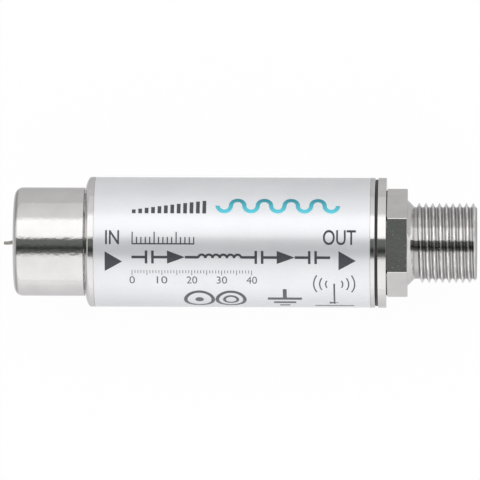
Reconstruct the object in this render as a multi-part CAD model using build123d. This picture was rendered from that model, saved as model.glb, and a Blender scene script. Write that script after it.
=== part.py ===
from build123d import *
import os
from math import asin, cos, degrees, hypot, pi, radians, sin

# A round in-line amplifier for a coaxial aerial lead: a push-on plug at one end, a
# threaded socket at the other, and a small amplifier board in the tube between them.
# Millimetres. +X runs along the axis from the plug to the socket and +Z is up, the
# side that shows the front of the label. The origin is at mid length, on the axis.

# Clearances
SEAT = 0.02  # between two pieces that are pressed or screwed together
RUNNING = 0.06  # radial, between the turning coupling and the post in it
END_PLAY = 0.1  # axial, at each side of the coupling's ring
OVERRUN = 0.5  # how far a cutting shape runs past what it cuts

# Along the axis, from the tip of the pin to the face of the socket
PIN_PROTRUSION = 1.3
SLEEVE_LENGTH = 8.27
SLEEVE_GAP = 0.16
HOUSING_LENGTH = 34.07
SEAM_GAP = 0.29
CAP_THICKNESS = 0.98
HEX_LENGTH = 2.47
NECK_LENGTH = 0.83
THREAD_LENGTH = 7.33
TOTAL_LENGTH = (
    PIN_PROTRUSION + SLEEVE_LENGTH + SLEEVE_GAP + HOUSING_LENGTH + SEAM_GAP
    + CAP_THICKNESS + HEX_LENGTH + NECK_LENGTH + THREAD_LENGTH
)

TIP_X = -TOTAL_LENGTH / 2
RIM_X = TIP_X + PIN_PROTRUSION
SLEEVE_REAR_X = RIM_X + SLEEVE_LENGTH
FRONT_X = SLEEVE_REAR_X + SLEEVE_GAP
REAR_X = FRONT_X + HOUSING_LENGTH
CAP_X = REAR_X + SEAM_GAP
HEX_X = CAP_X + CAP_THICKNESS
NECK_X = HEX_X + HEX_LENGTH
THREAD_X = NECK_X + NECK_LENGTH
FACE_X = THREAD_X + THREAD_LENGTH

# Housing tube, with a domed shoulder at the plug end and a shallow seat for the label
HOUSING_RADIUS = 7.65
HOUSING_WALL = 0.9
FRONT_WALL = 1.6
SHOULDER_LENGTH = 0.47
SHOULDER_DEPTH = 1.33
EDGE_BREAK = 0.12
BORE_RADIUS = HOUSING_RADIUS - HOUSING_WALL
INNER_X = FRONT_X + FRONT_WALL

# Label
LABEL_FRONT_BAND = 1.0
LABEL_REAR_BAND = 0.58
LABEL_THICKNESS = 0.06
LABEL_SEAM = 0.5
LABEL_X = FRONT_X + LABEL_FRONT_BAND
LABEL_END_X = REAR_X - LABEL_REAR_BAND
LABEL_SEAT_RADIUS = HOUSING_RADIUS - LABEL_THICKNESS - SEAT

# Output socket: a hexagon flange, a threaded barrel and a shank that goes through the cap
CREST_RADIUS = 4.7
THREAD_PITCH = 0.79375
THREAD_DEPTH = 0.48
CREST_WIDTH = 0.08
RIDGE_WIDTH = 0.54
RIDGE_EMBED = 0.12
THREAD_START_TURN = 251  # degrees, from the +Y side
TIP_CHAMFER = 0.42
TIP_CHAMFER_DEPTH = 0.55
NECK_STEP = 0.35
CAP_LAND = 1.3  # from the corners of the hexagon to the edge of the cap
HEX_TURN = 2.3  # degrees
HEX_CHAMFER = 0.2
HEX_CHAMFER_LAND = 0.25
BARREL_WALL = 0.92
SHANK_WALL = 1.3
SOCKET_LIP = 1.2
SOCKET_LIP_STEP = 0.6
ROOT_RADIUS = CREST_RADIUS - THREAD_DEPTH
NECK_RADIUS = CREST_RADIUS + NECK_STEP
BARREL_BORE_RADIUS = ROOT_RADIUS - BARREL_WALL
SOCKET_LIP_RADIUS = BARREL_BORE_RADIUS - SOCKET_LIP_STEP
HEX_CORNER_RADIUS = HOUSING_RADIUS - CAP_LAND

# End cap, its seal, and the nut and washer that hold the socket from inside
SPIGOT_LENGTH = 2.6
SEAL_RECESS = 0.2
WASHER_THICKNESS = 0.45
WASHER_CLEARANCE = 0.65
WASHER_TOOTH = 0.75
WASHER_TEETH = 14
NUT_THICKNESS = 1.6
NUT_CLEARANCE = 0.4
NUT_WALL = 0.98
NUT_CHAMFER = 0.2
NUT_CHAMFER_LAND = 0.25
SHANK_PROUD = 0.3
WASHER_RADIUS = BORE_RADIUS - WASHER_CLEARANCE
NUT_CORNER_RADIUS = BORE_RADIUS - NUT_CLEARANCE
CAP_HOLE_RADIUS = NUT_CORNER_RADIUS * cos(pi / 6) - NUT_WALL
SHANK_RADIUS = CAP_HOLE_RADIUS - SEAT
SHANK_BORE_RADIUS = SHANK_RADIUS - SHANK_WALL
SPIGOT_RADIUS = BORE_RADIUS - SEAT
SPIGOT_X = CAP_X - SPIGOT_LENGTH
WASHER_X = SPIGOT_X - WASHER_THICKNESS
NUT_X = WASHER_X - NUT_THICKNESS
SHANK_X = NUT_X - SHANK_PROUD

# Insulators and spring contact of the socket
CONTACT_BORE_RADIUS = 0.5
CONTACT_JAW_WALL = 0.5
CONTACT_BORE_DEPTH = 4.0
CONTACT_JAW_LENGTH = 4.5
CONTACT_SLOT = 0.2
CONTACT_SLOT_LENGTH = 3.3
CONTACT_SHANK_RADIUS = 0.8
CONTACT_COLLAR_STEP = 0.7
CONTACT_COLLAR = 0.8
JAW_CLEARANCE = 0.08
ENTRY_RADIUS = 0.75
ENTRY_FLARE = 0.4
ENTRY_COUNTERSINK = 0.3
ENTRY_WALL = 1.0
FACE_RECESS = 0.04
FRONT_INSULATOR_LENGTH = 5.4
REAR_INSULATOR_LENGTH = 4.0
REAR_INSULATOR_INSET = 1.2
TAIL_RADIUS = 0.5
TAIL_LAP = 2.5  # how much of a pin lies soldered along the board
CONTACT_JAW_RADIUS = CONTACT_BORE_RADIUS + CONTACT_JAW_WALL
CONTACT_COLLAR_RADIUS = CONTACT_SHANK_RADIUS + CONTACT_COLLAR_STEP
CONTACT_X = FACE_X - ENTRY_WALL - JAW_CLEARANCE
REAR_INSULATOR_X = SHANK_X + REAR_INSULATOR_INSET
REAR_INSULATOR_END_X = REAR_INSULATOR_X + REAR_INSULATOR_LENGTH

# Input plug: a flanged post in the housing's front wall, and a coupling that turns on it
FLANGE_CLEARANCE = 0.35
POST_SHARE = 0.795  # of the flange's radius
POST_BORE_SHARE = 0.657  # of the post's radius
FLANGE_THICKNESS = 0.7
SWAGE_STEP = 0.45
SWAGE_THICKNESS = 0.4
RING_THICKNESS = 0.75
SLEEVE_RADIUS = 6.38
SLEEVE_WALL = 0.65
SLEEVE_NOSE_RADIUS = 1.0
SLEEVE_LIP = 0.6
MOUTH_STEP = 0.2
FINGER_SPACE = 0.56
GRIP_STEP = 0.13
GRIP_LENGTH = 0.7
GRIP_SLOPE = 0.4
FINGER_THICKNESS = 0.42
FINGER_LEAD = 0.35
FINGER_LEAD_DEPTH = 0.2
FINGER_GAP = 0.2
FINGER_SLOT = 0.6
FINGER_SLOTS = 6
FINGER_WEB = 0.5
SLEEVE_BORE_RADIUS = SLEEVE_RADIUS - SLEEVE_WALL
FINGER_RADIUS = SLEEVE_BORE_RADIUS - FINGER_SPACE - FINGER_THICKNESS
MOUTH_RADIUS = FINGER_RADIUS + MOUTH_STEP
FLANGE_RADIUS = FINGER_RADIUS - FLANGE_CLEARANCE
POST_RADIUS = FLANGE_RADIUS * POST_SHARE
POST_BORE_RADIUS = POST_RADIUS * POST_BORE_SHARE
SWAGE_RADIUS = POST_RADIUS + SWAGE_STEP
RING_REAR_X = FRONT_X - END_PLAY
RING_X = RING_REAR_X - RING_THICKNESS
FLANGE_REAR_X = RING_X - END_PLAY
FLANGE_X = FLANGE_REAR_X - FLANGE_THICKNESS
SWAGE_X = INNER_X + SEAT
SWAGE_END_X = SWAGE_X + SWAGE_THICKNESS

# Insulator and pin of the plug
PIN_RADIUS = 0.3
PIN_TIP_RADIUS = 0.2
PIN_TAPER = 1.1
PLUG_SHOULDER_STEP = 0.9
PLUG_SHOULDER = 0.8
PLUG_SHOULDER_RADIUS = POST_BORE_RADIUS + PLUG_SHOULDER_STEP
PLUG_SHOULDER_X = SWAGE_END_X + SEAT
PLUG_SHOULDER_END_X = PLUG_SHOULDER_X + PLUG_SHOULDER

# Circuit board. A pin and the contact's tail lie on its tracks, so its top is below the axis.
BOARD_GAP = 0.35
BOARD_THICKNESS = 1.0
BOARD_SIDE_GAP = 0.95
BOARD_CORNER = 0.6
COPPER = 0.05
COPPER_MARGIN = 0.4
BOARD_X = PLUG_SHOULDER_END_X + BOARD_GAP
BOARD_END_X = SHANK_X - BOARD_GAP
BOARD_LENGTH = BOARD_END_X - BOARD_X
BOARD_WIDTH = 2 * (BORE_RADIUS - BOARD_SIDE_GAP)
TRACK_TOP = -TAIL_RADIUS
BOARD_TOP = TRACK_TOP - COPPER
BOARD_BOTTOM = BOARD_TOP - BOARD_THICKNESS

# Tracks, solder and earth springs
SIGNAL_TRACK_WIDTH = 1.1
SUPPLY_TRACK_WIDTH = 0.7
PAD_MARGIN = 0.2
SOLDER_WIDTH = 0.85  # from a pin's centre to the edge of its solder
SOLDER_HEIGHT = 0.3  # above the centre of the pin
SPRING_THICKNESS = 0.15
SPRING_LENGTH = 3.0
SPRING_FOOT = 1.4
SPRING_FOOT_INSET = 0.35
SPRING_CLEARANCE = 0.03
SPRING_RETURN = 0.9
SPRING_TOUCH_ANGLE = 8.0  # degrees above the axis, where the leaf touches the bore
SPRING_PLACE_SHARES = (0.12, 0.88)

# Parts on the board. Places are shares of its length and half width, from the plug end.
CHIP_LENGTH = 1.6
CHIP_WIDTH = 0.8
CHIP_HEIGHT = 0.75
CHIP_TERMINAL = 0.3
TERMINAL_PROUD = 0.05
CAPACITOR_PLACE_SHARES = ((0.19, 0.0), (0.83, 0.0), (0.47, 0.80), (0.66, -0.22))
RESISTOR_PLACE_SHARES = ((0.41, -0.58), (0.54, -0.62), (0.38, 0.30))
AMPLIFIER_LENGTH = 4.5
AMPLIFIER_WIDTH = 2.5
AMPLIFIER_HEIGHT = 1.4
AMPLIFIER_DRAFT = 0.12
AMPLIFIER_PLACE_SHARES = (0.52, 0.0)
LEAD_WIDTH = 0.5
LEAD_THICKNESS = 0.3
LEAD_REACH = 0.75
LEAD_PITCH = 1.5
TAB_WIDTH = 1.7
CHOKE_RADIUS = 1.6
CHOKE_FLANGE = 0.4
CHOKE_HEIGHT = 2.1
CHOKE_CORE_RADIUS = 0.7
CHOKE_WIRE_RADIUS = 1.35
CHOKE_WIRE_ROUND = 0.2
CHOKE_PAD = 1.1
CHOKE_PLACE_SHARES = ((0.27, 0.62), (0.70, 0.62))
TANTALUM_LENGTH = 3.5
TANTALUM_WIDTH = 2.6
TANTALUM_HEIGHT = 1.8
TANTALUM_TERMINAL = 0.35
TANTALUM_PLACE_SHARES = (0.71, -0.63)
DIODE_LENGTH = 2.6
DIODE_WIDTH = 1.5
DIODE_HEIGHT = 1.0
DIODE_TERMINAL = 0.4
DIODE_PLACE_SHARES = (0.25, -0.48)


def turned(*points):
    """A solid turned about the axis from an outline of (station, radius) points."""
    return revolve(make_face(Polyline(*points, close=True)), Axis.X)


def ring(start, end, inner, outer):
    """A plain ring or tube about the axis."""
    return turned((start, inner), (end, inner), (end, outer), (start, outer))


def rod(start, end, radius):
    """A plain round rod on the axis."""
    return turned((start, 0), (end, 0), (end, radius), (start, radius))


def across(x):
    """The plane square to the axis at a station, with its own x along +Y."""
    return Plane(origin=(x, 0, 0), x_dir=(0, 1, 0), z_dir=(1, 0, 0))


def block(length, width, height, x, y, bottom):
    """A box centred on (x, y) that stands on a level."""
    box = Box(length, width, height, align=(Align.CENTER, Align.CENTER, Align.MIN))
    return Pos(x, y, bottom) * box


def on_board(place):
    """A place on the board, from its shares of the board's length and half width."""
    along, aside = place
    return BOARD_X + along * BOARD_LENGTH, aside * BOARD_WIDTH / 2


def save(name, *solids):
    """Writes one node."""
    shape = solids[0] if len(solids) == 1 else Compound(list(solids))
    export_step(shape, f"parts/{name}.step")


# The case


def housing():
    shoulder_radius = (SHOULDER_LENGTH**2 + SHOULDER_DEPTH**2) / (2 * SHOULDER_LENGTH)
    flat_radius = HOUSING_RADIUS - SHOULDER_DEPTH
    sweep_angle = asin(SHOULDER_DEPTH / shoulder_radius)
    middle = (
        FRONT_X + shoulder_radius * (1 - cos(sweep_angle / 2)),
        flat_radius + shoulder_radius * sin(sweep_angle / 2),
    )
    crown = (FRONT_X + SHOULDER_LENGTH, HOUSING_RADIUS)
    hole = POST_RADIUS + SEAT
    outline = Polyline(
        crown,
        (LABEL_X, HOUSING_RADIUS),
        (LABEL_X, LABEL_SEAT_RADIUS),
        (LABEL_END_X, LABEL_SEAT_RADIUS),
        (LABEL_END_X, HOUSING_RADIUS),
        (REAR_X - EDGE_BREAK, HOUSING_RADIUS),
        (REAR_X, HOUSING_RADIUS - EDGE_BREAK),
        (REAR_X, BORE_RADIUS),
        (INNER_X, BORE_RADIUS),
        (INNER_X, hole),
        (FRONT_X, hole),
        (FRONT_X, flat_radius),
    )
    dome = ThreePointArc((FRONT_X, flat_radius), middle, crown)
    return revolve(make_face(outline.edges() + dome.edges()), Axis.X)


def wrap_label():
    outer = LABEL_SEAT_RADIUS + LABEL_THICKNESS
    tube = ring(LABEL_X + SEAT, LABEL_END_X - SEAT, LABEL_SEAT_RADIUS, outer)
    length = LABEL_END_X - LABEL_X + 2 * OVERRUN
    middle = (LABEL_X + LABEL_END_X) / 2
    seam = block(length, LABEL_SEAM, 2 * HOUSING_RADIUS, middle, 0, -2 * HOUSING_RADIUS)
    return tube - seam


def end_cap():
    return turned(
        (SPIGOT_X, CAP_HOLE_RADIUS),
        (HEX_X, CAP_HOLE_RADIUS),
        (HEX_X, HOUSING_RADIUS - EDGE_BREAK),
        (HEX_X - EDGE_BREAK, HOUSING_RADIUS),
        (CAP_X + EDGE_BREAK, HOUSING_RADIUS),
        (CAP_X, HOUSING_RADIUS - EDGE_BREAK),
        (CAP_X, SPIGOT_RADIUS),
        (SPIGOT_X + EDGE_BREAK, SPIGOT_RADIUS),
        (SPIGOT_X, SPIGOT_RADIUS - EDGE_BREAK),
    )


def seam_seal():
    return ring(REAR_X, CAP_X, SPIGOT_RADIUS + SEAT, HOUSING_RADIUS - SEAL_RECESS)


# The output socket


def hexagon(start, end, corner_radius, chamfer, land, both_ends=False):
    """A hexagon bar with its corners turned off at the near end, or at both."""
    profile = across(start) * RegularPolygon(corner_radius, 6)
    low = corner_radius * cos(pi / 6) + land
    high = corner_radius + OVERRUN
    back = chamfer * (high - low) / (corner_radius - low)
    far = [(end - back, high), (end, low)] if both_ends else [(end, high)]
    limit = turned((start, 0), (start, low), (start + back, high), *far, (end, 0))
    return extrude(profile, end - start) & limit


def thread_ridge():
    """The helical ridge of a right-hand thread, from the neck to past the tip."""
    start = THREAD_X + RIDGE_WIDTH / 2
    height = FACE_X + THREAD_PITCH - start
    slope = (RIDGE_WIDTH - CREST_WIDTH) / 2 / THREAD_DEPTH
    foot = RIDGE_WIDTH + 2 * slope * RIDGE_EMBED
    tall = THREAD_DEPTH + RIDGE_EMBED
    path = Edge.make_helix(THREAD_PITCH, height, ROOT_RADIUS - RIDGE_EMBED)
    path = Rot(THREAD_START_TURN, 0, 0) * across(start).from_local_coords(path)
    plane = Plane(origin=path @ 0, x_dir=(1, 0, 0), z_dir=path % 0)
    section = Polyline(
        (-foot / 2, 0), (-CREST_WIDTH / 2, tall), (CREST_WIDTH / 2, tall), (foot / 2, 0),
        close=True,
    )
    return sweep(plane * make_face(section), path=path, is_frenet=True)


def socket_body():
    barrel = turned(
        (SHANK_X, SHANK_BORE_RADIUS),
        (NECK_X, SHANK_BORE_RADIUS),
        (NECK_X, BARREL_BORE_RADIUS),
        (FACE_X - SOCKET_LIP, BARREL_BORE_RADIUS),
        (FACE_X - SOCKET_LIP, SOCKET_LIP_RADIUS),
        (FACE_X, SOCKET_LIP_RADIUS),
        (FACE_X, ROOT_RADIUS),
        (THREAD_X, ROOT_RADIUS),
        (NECK_X, NECK_RADIUS),
        (NECK_X, SHANK_RADIUS),
        (SHANK_X, SHANK_RADIUS),
    )
    bar = hexagon(HEX_X, NECK_X, HEX_CORNER_RADIUS, HEX_CHAMFER, HEX_CHAMFER_LAND)
    flange = Rot(HEX_TURN, 0, 0) * bar
    flange -= rod(HEX_X - OVERRUN, NECK_X + OVERRUN, (SHANK_BORE_RADIUS + SHANK_RADIUS) / 2)
    limit = turned(
        (SHANK_X - OVERRUN, 0),
        (SHANK_X - OVERRUN, HOUSING_RADIUS),
        (FACE_X - TIP_CHAMFER - OVERRUN, HOUSING_RADIUS),
        (FACE_X - TIP_CHAMFER, CREST_RADIUS),
        (FACE_X, CREST_RADIUS - TIP_CHAMFER_DEPTH),
        (FACE_X, 0),
    )
    return ((barrel + thread_ridge()) & limit) + flange


def socket_front_insulator():
    body = BARREL_BORE_RADIUS - SEAT
    nose = SOCKET_LIP_RADIUS - SEAT
    cavity = CONTACT_JAW_RADIUS + JAW_CLEARANCE
    start = FACE_X - FRONT_INSULATOR_LENGTH
    front = FACE_X - FACE_RECESS
    return turned(
        (start, cavity),
        (FACE_X - ENTRY_WALL, cavity),
        (FACE_X - ENTRY_WALL, ENTRY_RADIUS),
        (front - ENTRY_COUNTERSINK, ENTRY_RADIUS),
        (front, ENTRY_RADIUS + ENTRY_FLARE),
        (front, nose),
        (FACE_X - SOCKET_LIP - SEAT, nose),
        (FACE_X - SOCKET_LIP - SEAT, body),
        (start, body),
    )


def socket_contact():
    jaw_rear = CONTACT_X - CONTACT_JAW_LENGTH
    stop = REAR_INSULATOR_END_X + SEAT
    tail_start = REAR_INSULATOR_X - SEAT
    blank = turned(
        (BOARD_END_X - TAIL_LAP, 0),
        (CONTACT_X - CONTACT_BORE_DEPTH, 0),
        (CONTACT_X - CONTACT_BORE_DEPTH, CONTACT_BORE_RADIUS),
        (CONTACT_X, CONTACT_BORE_RADIUS),
        (CONTACT_X, CONTACT_JAW_RADIUS),
        (jaw_rear, CONTACT_JAW_RADIUS),
        (jaw_rear, CONTACT_SHANK_RADIUS),
        (stop + CONTACT_COLLAR, CONTACT_SHANK_RADIUS),
        (stop + CONTACT_COLLAR, CONTACT_COLLAR_RADIUS),
        (stop, CONTACT_COLLAR_RADIUS),
        (stop, CONTACT_SHANK_RADIUS),
        (tail_start, CONTACT_SHANK_RADIUS),
        (tail_start, TAIL_RADIUS),
        (BOARD_END_X - TAIL_LAP, TAIL_RADIUS),
    )
    reach = CONTACT_SLOT_LENGTH + OVERRUN
    middle = CONTACT_X - CONTACT_SLOT_LENGTH + reach / 2
    wide = 2 * (CONTACT_JAW_RADIUS + OVERRUN)
    cut = Pos(middle, 0, 0) * Box(reach, wide, CONTACT_SLOT)
    return blank - cut - Rot(90, 0, 0) * cut


def socket_rear_insulator():
    return ring(
        REAR_INSULATOR_X, REAR_INSULATOR_END_X,
        CONTACT_SHANK_RADIUS + SEAT, SHANK_BORE_RADIUS - SEAT,
    )


def tooth_washer():
    root = WASHER_RADIUS - WASHER_TOOTH
    half_step = pi / WASHER_TEETH
    points = []
    for tooth in range(WASHER_TEETH):
        for turn, radius in ((-1, root), (0, WASHER_RADIUS), (1 / 2, root)):
            angle = (2 * tooth + turn) * half_step
            points.append((radius * cos(angle), radius * sin(angle)))
    star = make_face(Polyline(*points, close=True))
    hole = Circle(CAP_HOLE_RADIUS)
    return extrude(across(WASHER_X) * (star - hole), WASHER_THICKNESS)


def lock_nut():
    nut = hexagon(NUT_X, WASHER_X, NUT_CORNER_RADIUS, NUT_CHAMFER, NUT_CHAMFER_LAND, both_ends=True)
    return nut - rod(NUT_X - OVERRUN, WASHER_X + OVERRUN, CAP_HOLE_RADIUS)


# The input plug


def plug_post():
    return turned(
        (FLANGE_X, POST_BORE_RADIUS),
        (SWAGE_END_X, POST_BORE_RADIUS),
        (SWAGE_END_X, SWAGE_RADIUS - EDGE_BREAK),
        (SWAGE_END_X - EDGE_BREAK, SWAGE_RADIUS),
        (SWAGE_X, SWAGE_RADIUS),
        (SWAGE_X, POST_RADIUS),
        (FLANGE_REAR_X, POST_RADIUS),
        (FLANGE_REAR_X, FLANGE_RADIUS),
        (FLANGE_X + EDGE_BREAK, FLANGE_RADIUS),
        (FLANGE_X, FLANGE_RADIUS - EDGE_BREAK),
    )


def coupling_sleeve():
    nose = SLEEVE_NOSE_RADIUS
    bend = nose * sin(pi / 4)
    outline = Polyline(
        (RIM_X, SLEEVE_RADIUS - nose),
        (RIM_X, MOUTH_RADIUS + EDGE_BREAK),
        (RIM_X + EDGE_BREAK, MOUTH_RADIUS),
        (RIM_X + SLEEVE_LIP, MOUTH_RADIUS),
        (RIM_X + SLEEVE_LIP, SLEEVE_BORE_RADIUS),
        (SLEEVE_REAR_X, SLEEVE_BORE_RADIUS),
        (SLEEVE_REAR_X, SLEEVE_RADIUS - EDGE_BREAK),
        (SLEEVE_REAR_X - EDGE_BREAK, SLEEVE_RADIUS),
        (RIM_X + nose, SLEEVE_RADIUS),
    )
    rounding = ThreePointArc(
        (RIM_X + nose, SLEEVE_RADIUS),
        (RIM_X + nose - bend, SLEEVE_RADIUS - nose + bend),
        (RIM_X, SLEEVE_RADIUS - nose),
    )
    return revolve(make_face(outline.edges() + rounding.edges()), Axis.X)


def coupling_collet():
    outer = FINGER_RADIUS + FINGER_THICKNESS
    grip = FINGER_RADIUS - GRIP_STEP
    tip = RIM_X + SLEEVE_LIP + FINGER_GAP
    grip_start = tip + FINGER_LEAD
    grip_end = grip_start + GRIP_LENGTH
    ring_outer = SLEEVE_BORE_RADIUS - SEAT
    blank = turned(
        (RING_REAR_X, POST_RADIUS + RUNNING),
        (RING_REAR_X, ring_outer),
        (RING_X, ring_outer),
        (RING_X - FINGER_WEB, outer),
        (tip, outer),
        (tip, grip + FINGER_LEAD_DEPTH),
        (grip_start, grip),
        (grip_end, grip),
        (grip_end + GRIP_SLOPE, FINGER_RADIUS),
        (RING_X, FINGER_RADIUS),
        (RING_X, POST_RADIUS + RUNNING),
    )
    slot_end = RING_X - FINGER_WEB
    reach = slot_end - tip + OVERRUN
    cut = Pos(slot_end - reach / 2, 0, 0) * Box(reach, 2 * SLEEVE_RADIUS, FINGER_SLOT)
    for slot in range(FINGER_SLOTS // 2):
        blank -= Rot(slot * 360 / FINGER_SLOTS, 0, 0) * cut
    return blank


def plug_insulator():
    hole = TAIL_RADIUS + SEAT
    return turned(
        (FLANGE_X, hole),
        (PLUG_SHOULDER_END_X, hole),
        (PLUG_SHOULDER_END_X, PLUG_SHOULDER_RADIUS),
        (PLUG_SHOULDER_X, PLUG_SHOULDER_RADIUS),
        (PLUG_SHOULDER_X, POST_BORE_RADIUS - SEAT),
        (FLANGE_X, POST_BORE_RADIUS - SEAT),
    )


def centre_pin():
    end = BOARD_X + TAIL_LAP
    return turned(
        (TIP_X, 0),
        (TIP_X, PIN_TIP_RADIUS),
        (TIP_X + PIN_TAPER, PIN_RADIUS),
        (FLANGE_X, PIN_RADIUS),
        (FLANGE_X, TAIL_RADIUS),
        (end, TAIL_RADIUS),
        (end, 0),
    )


# The circuit board


def circuit_board():
    sheet = RectangleRounded(BOARD_LENGTH, BOARD_WIDTH, BOARD_CORNER)
    middle = (BOARD_X + BOARD_END_X) / 2
    return extrude(Pos(middle, 0, BOARD_BOTTOM) * sheet, BOARD_THICKNESS)


def ground_plane():
    length = BOARD_LENGTH - 2 * COPPER_MARGIN
    width = BOARD_WIDTH - 2 * COPPER_MARGIN
    middle = (BOARD_X + BOARD_END_X) / 2
    sheet = RectangleRounded(length, width, BOARD_CORNER)
    return extrude(Pos(middle, 0, BOARD_BOTTOM - COPPER) * sheet, COPPER)


def track(x0, y0, x1, y1, width):
    """A straight track on top of the board, between two points, with square ends."""
    turn = degrees(asin((y1 - y0) / hypot(x1 - x0, y1 - y0)))
    length = hypot(x1 - x0, y1 - y0) + width
    strip = Box(length, width, COPPER, align=(Align.CENTER, Align.CENTER, Align.MIN))
    return Pos((x0 + x1) / 2, (y0 + y1) / 2, BOARD_TOP) * Rot(0, 0, turn) * strip


def pad(length, width, x, y):
    """A copper pad round the foot of something soldered to the board."""
    edge = 2 * PAD_MARGIN
    return block(length + edge, width + edge, COPPER, x, y, BOARD_TOP)


def signal_line():
    """The tracks along the middle of the board, broken where a part bridges them."""
    width = SIGNAL_TRACK_WIDTH
    start = BOARD_X + COPPER_MARGIN + width / 2
    end = BOARD_END_X - COPPER_MARGIN - width / 2
    input_x = on_board(CAPACITOR_PLACE_SHARES[0])[0]
    output_x = on_board(CAPACITOR_PLACE_SHARES[1])[0]
    chip_x = on_board(AMPLIFIER_PLACE_SHARES)[0]
    gap = CHIP_LENGTH / 2 - CHIP_TERMINAL + width / 2
    reach = AMPLIFIER_LENGTH / 2 - width / 2
    return [
        track(start, 0, input_x - gap, 0, width),
        track(input_x + gap, 0, chip_x - reach, 0, width),
        track(chip_x + reach, 0, output_x - gap, 0, width),
        track(output_x + gap, 0, end, 0, width),
    ]


def supply_line():
    """The tracks between the two chokes, and from each of them to the signal line."""
    (near_x, near_y), (far_x, far_y) = [on_board(place) for place in CHOKE_PLACE_SHARES]
    width = SUPPLY_TRACK_WIDTH
    foot = CHOKE_RADIUS - CHOKE_PAD / 2
    return [
        track(near_x + foot, near_y, far_x - foot, far_y, width),
        track(near_x - foot, near_y, near_x - foot, 0, width),
        track(far_x + foot, far_y, far_x + foot, 0, width),
    ]


def terminal_pads(place, length, width, terminal):
    x, y = on_board(place)
    step = (length - terminal) / 2
    return [pad(terminal, width, x + side * step, y) for side in (-1, 1)]


def copper_tracks():
    pads = terminal_pads(TANTALUM_PLACE_SHARES, TANTALUM_LENGTH, TANTALUM_WIDTH, TANTALUM_TERMINAL)
    pads += terminal_pads(DIODE_PLACE_SHARES, DIODE_LENGTH, DIODE_WIDTH, DIODE_TERMINAL)
    for place in CAPACITOR_PLACE_SHARES + RESISTOR_PLACE_SHARES:
        pads += terminal_pads(place, CHIP_LENGTH, CHIP_WIDTH, CHIP_TERMINAL)
    for place in CHOKE_PLACE_SHARES:
        pads += terminal_pads(place, 2 * CHOKE_RADIUS, 2 * CHOKE_CORE_RADIUS, CHOKE_PAD)
    pads += [pad(*lead) for lead in lead_places()]
    pads += [pad(SPRING_LENGTH, SPRING_FOOT, *foot) for foot in spring_feet()]
    first, *others = signal_line() + supply_line() + pads
    return (first + others).solids()


def in_line(place, length, width, height, terminal):
    """A body between its two end terminals, which stand a little proud of it."""
    x, y = on_board(place)
    body_length = length - 2 * terminal
    step = (length - terminal) / 2
    body = block(body_length, width, height - TERMINAL_PROUD, x, y, TRACK_TOP)
    ends = [block(terminal, width, height, x + side * step, y, TRACK_TOP)
            for side in (-1, 1)]
    return body, ends


def chips(places):
    return [in_line(place, CHIP_LENGTH, CHIP_WIDTH, CHIP_HEIGHT, CHIP_TERMINAL)
            for place in places]


def amplifier_chip():
    x, y = on_board(AMPLIFIER_PLACE_SHARES)
    foot = Pos(x, y, TRACK_TOP) * Rectangle(AMPLIFIER_LENGTH, AMPLIFIER_WIDTH)
    crown = Pos(x, y, TRACK_TOP + AMPLIFIER_HEIGHT) * Rectangle(
        AMPLIFIER_LENGTH - 2 * AMPLIFIER_DRAFT, AMPLIFIER_WIDTH - 2 * AMPLIFIER_DRAFT)
    return loft([foot, crown])


def lead_places():
    """Length, width and place of the amplifier's three leads and its wide tab."""
    x, y = on_board(AMPLIFIER_PLACE_SHARES)
    edge = (AMPLIFIER_WIDTH + LEAD_REACH) / 2
    leads = [(LEAD_WIDTH, LEAD_REACH, x + step * LEAD_PITCH, y - edge) for step in (-1, 0, 1)]
    return [*leads, (TAB_WIDTH, LEAD_REACH, x, y + edge)]


def amplifier_leads():
    return [block(length, width, LEAD_THICKNESS, x, y, TRACK_TOP)
            for length, width, x, y in lead_places()]


def upright(x, y, points):
    """A solid turned about an upright line on the board, from (radius, height) points."""
    face = make_face(Polyline(*points, close=True))
    return Pos(x, y, TRACK_TOP) * revolve(Plane.XZ * face, Axis.Z)


def choke_core(place):
    top = CHOKE_HEIGHT - CHOKE_FLANGE
    return upright(*on_board(place), (
        (0, 0), (CHOKE_RADIUS, 0), (CHOKE_RADIUS, CHOKE_FLANGE),
        (CHOKE_CORE_RADIUS, CHOKE_FLANGE), (CHOKE_CORE_RADIUS, top),
        (CHOKE_RADIUS, top), (CHOKE_RADIUS, CHOKE_HEIGHT), (0, CHOKE_HEIGHT),
    ))


def choke_winding(place):
    inner = CHOKE_CORE_RADIUS + SEAT
    low = CHOKE_FLANGE + SEAT
    high = CHOKE_HEIGHT - CHOKE_FLANGE - SEAT
    shoulder = CHOKE_WIRE_RADIUS - CHOKE_WIRE_ROUND
    return upright(*on_board(place), (
        (inner, low), (shoulder, low), (CHOKE_WIRE_RADIUS, low + CHOKE_WIRE_ROUND),
        (CHOKE_WIRE_RADIUS, high - CHOKE_WIRE_ROUND), (shoulder, high), (inner, high),
    ))


def solder_joint(start, end, pin_radius):
    """Solder drawn up both sides of a pin that lies along a track."""
    bottom = TRACK_TOP
    mound = make_face(Polyline(
        (-SOLDER_WIDTH, bottom), (SOLDER_WIDTH, bottom), (pin_radius, SOLDER_HEIGHT),
        (-pin_radius, SOLDER_HEIGHT), close=True,
    ))
    bar = extrude(across(start) * mound, end - start)
    bar -= rod(start - OVERRUN, end + OVERRUN, pin_radius)
    return bar.solids()


def solder_joints():
    margin = COPPER_MARGIN + PAD_MARGIN
    plug_end = solder_joint(BOARD_X + margin, BOARD_X + TAIL_LAP - PAD_MARGIN, TAIL_RADIUS)
    socket_end = solder_joint(
        BOARD_END_X - TAIL_LAP + PAD_MARGIN, BOARD_END_X - margin, TAIL_RADIUS)
    return (*plug_end, *socket_end)


def spring_feet():
    """The middle of each earth spring's foot."""
    aside = BOARD_WIDTH / 2 - SPRING_FOOT_INSET - SPRING_FOOT / 2
    return [(BOARD_X + share * BOARD_LENGTH, side * aside)
            for share in SPRING_PLACE_SHARES for side in (-1, 1)]


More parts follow.
